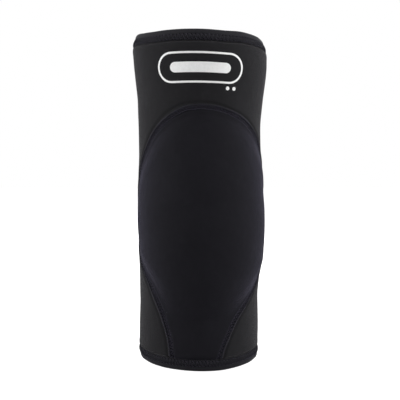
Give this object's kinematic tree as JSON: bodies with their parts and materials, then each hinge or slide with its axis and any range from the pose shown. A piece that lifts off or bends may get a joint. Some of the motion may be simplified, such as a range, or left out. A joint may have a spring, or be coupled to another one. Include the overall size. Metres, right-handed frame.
{
  "type": "elbow pad",
  "caption": "Pull-on neoprene elbow sleeve with a foam pad behind a tongue-shaped cover panel, folded hems and flat overlocked seams; bends at the elbow.",
  "frame": {"origin": "centre of the whole sleeve's box at rest, midway between the two rims", "axes": "+Z along the arm from the forearm rim to the upper-arm rim; -Y out through the pad over the point of the elbow; +X to the right when facing the pad; the elbow's flexion axis runs along X at z = 0, y = +10 mm"},
  "size_m": [0.0998, 0.1066, 0.234],
  "materials": {
    "neoprene_body": "black jersey-faced neoprene, fine knit, matt with a soft sheen",
    "pad_cover": "black stretch knit with a slight purple cast, matt",
    "jersey_lining": "dark grey nylon jersey, matt",
    "foam": "closed-cell foam, matt",
    "binding_tape": "folded stretch tape, satin",
    "thread": "textured polyester thread, slight sheen",
    "white_print": "heat-transferred film, satin",
    "label": "blank woven satin label"
  },
  "bodies": {
    "upper_arm_half": {"upper_body_panel": "neoprene_body", "upper_body_lining": "jersey_lining", "upper_pad_cover": "pad_cover", "upper_foam_pad": "foam", "upper_pad_backing": "jersey_lining", "top_hem_binding": "binding_tape", "top_hem_stitching": "thread", "pad_seam_stitching_arch": "thread", "back_seam_stitching_upper": "thread", "print_outline": "white_print", "print_bar": "white_print", "size_dot_inner": "white_print", "size_dot_outer": "white_print", "care_label": "label", "crook_body_panel_left": "neoprene_body", "crook_body_panel_right": "neoprene_body", "crook_lining_left": "jersey_lining", "crook_lining_right": "jersey_lining", "back_seam_stitching_crook": "thread"},
    "forearm_half": {"lower_body_panel_left": "neoprene_body", "lower_body_panel_right": "neoprene_body", "lower_body_lining_left": "jersey_lining", "lower_body_lining_right": "jersey_lining", "lower_pad_cover": "pad_cover", "lower_foam_pad": "foam", "lower_pad_backing": "jersey_lining", "bottom_hem_binding": "binding_tape", "bottom_hem_stitching": "thread", "pad_seam_stitching_left": "thread", "pad_seam_stitching_right": "thread", "back_seam_stitching_lower": "thread"}
  },
  "joints": [
    {"name": "elbow_flexion", "type": "hinge", "parent": "upper_arm_half", "child": "forearm_half", "pos_m": [0, 0.01, 0], "axis": [1, 0, 0], "range_deg": [0, 110], "stiffness_Nm_per_rad": 0.4, "deforming": ["crook_body_panel_left", "crook_body_panel_right", "crook_lining_left", "crook_lining_right", "back_seam_stitching_crook"]}
  ]
}
